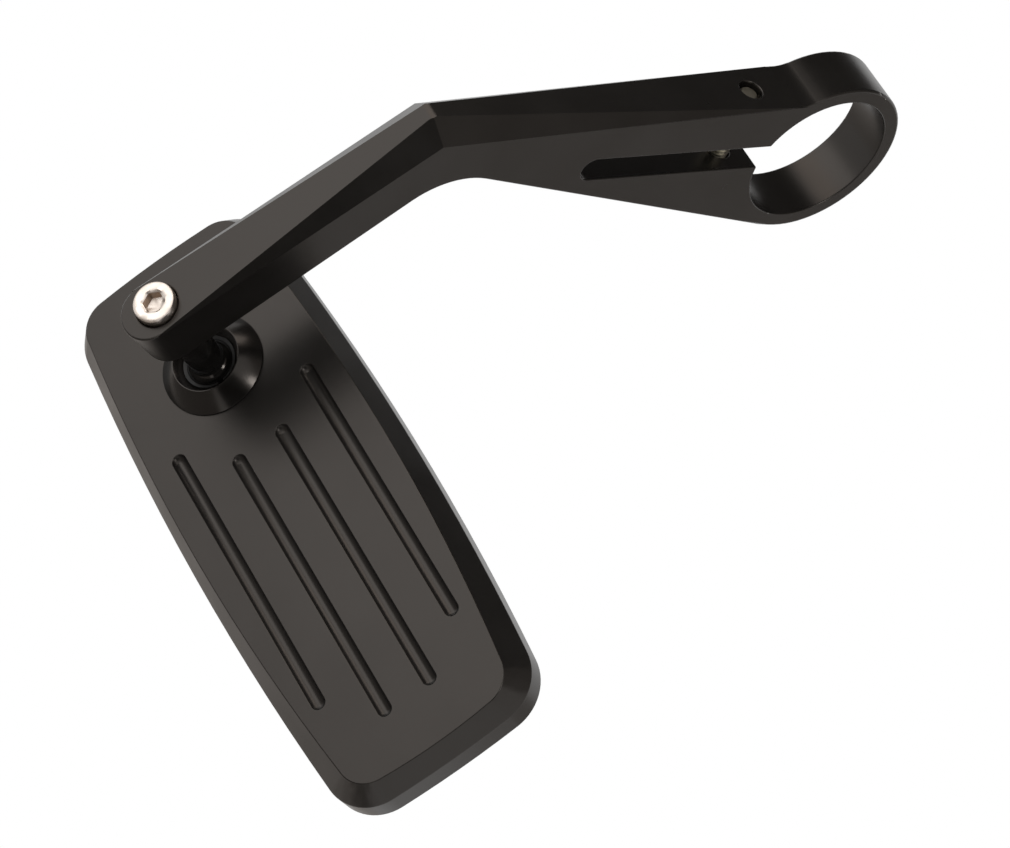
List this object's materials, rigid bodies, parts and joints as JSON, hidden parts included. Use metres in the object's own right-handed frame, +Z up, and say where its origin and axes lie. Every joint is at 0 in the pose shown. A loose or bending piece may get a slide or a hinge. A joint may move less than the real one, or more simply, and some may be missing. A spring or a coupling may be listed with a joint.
{
  "type": "bar end mirror",
  "caption": "Bar end mirror with a split ring clamp, a bent bevelled arm, a ball joint and a slim rectangular head with a grooved back.",
  "frame": {"origin": "middle of the clamp bore", "axes": "+X along the bar towards the head's long end, +Y the way the glass looks, +Z up along the mirror leg"},
  "size_m": [0.1313, 0.11, 0.1662],
  "materials": {
    "arm_black": "satin black anodised",
    "pinch_steel": "zinc plated",
    "stud_black": "polished black oxide",
    "stud_steel": "plain stainless",
    "liner_nylon": "moulded black",
    "collar_black": "turned gloss black anodised",
    "housing_black": "fine blasted black anodised",
    "pad_foam": "matt foam",
    "glass_silver": "silvered"
  },
  "bodies": {
    "arm": {"clamp_arm": "arm_black", "pinch_screw": "pinch_steel"},
    "stud": {"ball_stud": "stud_black", "stud_screw": "stud_steel"},
    "liner": {"ball_liner": "liner_nylon"},
    "head": {"socket_collar": "collar_black", "mirror_housing": "housing_black", "glass_pad": "pad_foam", "mirror_glass": "glass_silver"}
  },
  "joints": [
    {"name": "stud_turn", "type": "hinge", "parent": "arm", "child": "stud", "pos_m": [0, -0.05902, -0.12133], "axis": [0, 0.9992, -0.0393], "range_deg": [-40, 220]},
    {"name": "head_nod", "type": "hinge", "parent": "stud", "child": "liner", "pos_m": [0, -0.05902, -0.12133], "axis": [1, 0, 0], "range_deg": [-15, 15]},
    {"name": "head_swing", "type": "hinge", "parent": "liner", "child": "head", "pos_m": [0, -0.05902, -0.12133], "axis": [0, 0, 1], "range_deg": [-15, 15]}
  ]
}
